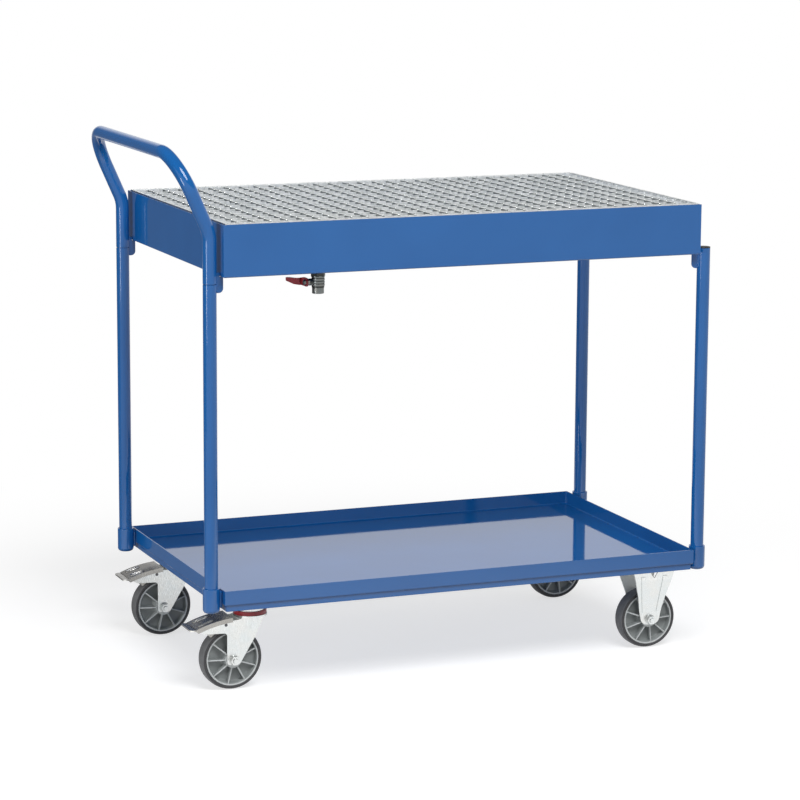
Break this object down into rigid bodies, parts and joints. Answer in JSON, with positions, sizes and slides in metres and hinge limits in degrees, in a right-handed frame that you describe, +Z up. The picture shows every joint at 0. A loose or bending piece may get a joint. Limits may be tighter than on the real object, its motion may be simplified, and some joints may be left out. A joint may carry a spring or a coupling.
{
  "type": "table trolley",
  "caption": "Two-deck tube-frame table trolley with a grated sump tray and drain valve above, a shallow tray below, a push handle, braked swivel castors and fixed castors.",
  "frame": {"origin": "bottom centre of the bounding box, on the floor under the middle of the trolley", "axes": "+X along the trolley from the handle end to the free end, +Y towards the pusher's left, +Z up"},
  "size_m": [1.1576, 0.62, 1.0814],
  "materials": {
    "blue_paint": "gloss powder coat",
    "galvanised": "hot-dip zinc, satin",
    "nickel": "satin nickel plate",
    "seal_white": "smooth",
    "red_dip": "dipped vinyl over steel",
    "black_plastic": "fine moulded grain",
    "zinc": "bright zinc plate",
    "red_plastic": "moulded",
    "dark_steel": "stamped and passivated",
    "grey_plastic": "moulded",
    "tyre_rubber": "smooth rubber",
    "bush_grey": "moulded"
  },
  "bodies": {
    "frame": {"upper_tray": "blue_paint", "grating_ledges": "blue_paint", "lower_tray": "blue_paint", "base_frame": "blue_paint", "castor_rails": "blue_paint", "leg_rear_right": "blue_paint", "leg_rear_left": "blue_paint", "leg_front_right": "blue_paint", "leg_front_left": "blue_paint", "push_handle": "blue_paint", "handle_spigots": "blue_paint", "leg_sockets": "blue_paint", "upper_lugs": "blue_paint", "lower_lugs": "blue_paint", "drain_boss": "blue_paint", "valve_body": "nickel", "valve_end_piece": "nickel", "valve_gland_nut": "nickel", "valve_seats": "seal_white", "leg_plugs": "black_plastic", "castor_bolts": "zinc", "fixed_bracket_right": "zinc", "fixed_bracket_left": "zinc", "fixed_axle_bolts": "zinc", "fixed_axle_tubes": "zinc", "swivel_top_plates": "zinc", "king_pins": "zinc", "swivel_bearings": "zinc"},
    "grating": {"grating_border": "galvanised", "grating_bearing_bars": "galvanised", "grating_cross_bars": "galvanised"},
    "valve_handle": {"valve_ball": "nickel", "valve_stem": "nickel", "valve_lever": "red_dip", "lever_nut": "nickel"},
    "swivel_right": {"swivel_fork_right": "zinc", "swivel_ring_right": "red_plastic", "axle_bolt_right": "zinc", "axle_tube_right": "zinc", "pedal_pin_right": "zinc"},
    "rear_wheel_right": {"rear_rim_right": "grey_plastic", "rear_tyre_right": "tyre_rubber", "rear_bearing_right": "bush_grey"},
    "front_wheel_right": {"front_rim_right": "grey_plastic", "front_tyre_right": "tyre_rubber", "front_bearing_right": "bush_grey"},
    "pedal_right": {"brake_pedal_right": "dark_steel"},
    "swivel_left": {"swivel_fork_left": "zinc", "swivel_ring_left": "red_plastic", "axle_bolt_left": "zinc", "axle_tube_left": "zinc", "pedal_pin_left": "zinc"},
    "rear_wheel_left": {"rear_rim_left": "grey_plastic", "rear_tyre_left": "tyre_rubber", "rear_bearing_left": "bush_grey"},
    "front_wheel_left": {"front_rim_left": "grey_plastic", "front_tyre_left": "tyre_rubber", "front_bearing_left": "bush_grey"},
    "pedal_left": {"brake_pedal_left": "dark_steel"}
  },
  "joints": [
    {"name": "grating_lift", "type": "slide", "parent": "frame", "child": "grating", "axis": [0, 0, 1], "range_m": [0, 0.15]},
    {"name": "valve_turn", "type": "hinge", "parent": "frame", "child": "valve_handle", "pos_m": [-0.258, -0.235, 0.806], "axis": [-1, 0, 0], "range_deg": [0, 90]},
    {"name": "swivel_turn_right", "type": "hinge", "parent": "frame", "child": "swivel_right", "pos_m": [-0.398, -0.226, 0.15], "axis": [0, 0, 1], "continuous": true},
    {"name": "rear_wheel_spin_right", "type": "hinge", "parent": "swivel_right", "child": "rear_wheel_right", "pos_m": [-0.44, -0.226, 0.0625], "axis": [0, 1, 0], "continuous": true},
    {"name": "pedal_lift_right", "type": "hinge", "parent": "swivel_right", "child": "pedal_right", "pos_m": [-0.4563, -0.226, 0.135], "axis": [0, 1, 0], "range_deg": [0, 14]},
    {"name": "front_wheel_spin_right", "type": "hinge", "parent": "frame", "child": "front_wheel_right", "pos_m": [0.474, -0.226, 0.0625], "axis": [0, 1, 0], "continuous": true},
    {"name": "swivel_turn_left", "type": "hinge", "parent": "frame", "child": "swivel_left", "pos_m": [-0.398, 0.226, 0.15], "axis": [0, 0, 1], "continuous": true},
    {"name": "rear_wheel_spin_left", "type": "hinge", "parent": "swivel_left", "child": "rear_wheel_left", "pos_m": [-0.44, 0.226, 0.0625], "axis": [0, 1, 0], "continuous": true},
    {"name": "pedal_lift_left", "type": "hinge", "parent": "swivel_left", "child": "pedal_left", "pos_m": [-0.4563, 0.226, 0.135], "axis": [0, 1, 0], "range_deg": [0, 14]},
    {"name": "front_wheel_spin_left", "type": "hinge", "parent": "frame", "child": "front_wheel_left", "pos_m": [0.474, 0.226, 0.0625], "axis": [0, 1, 0], "continuous": true}
  ]
}
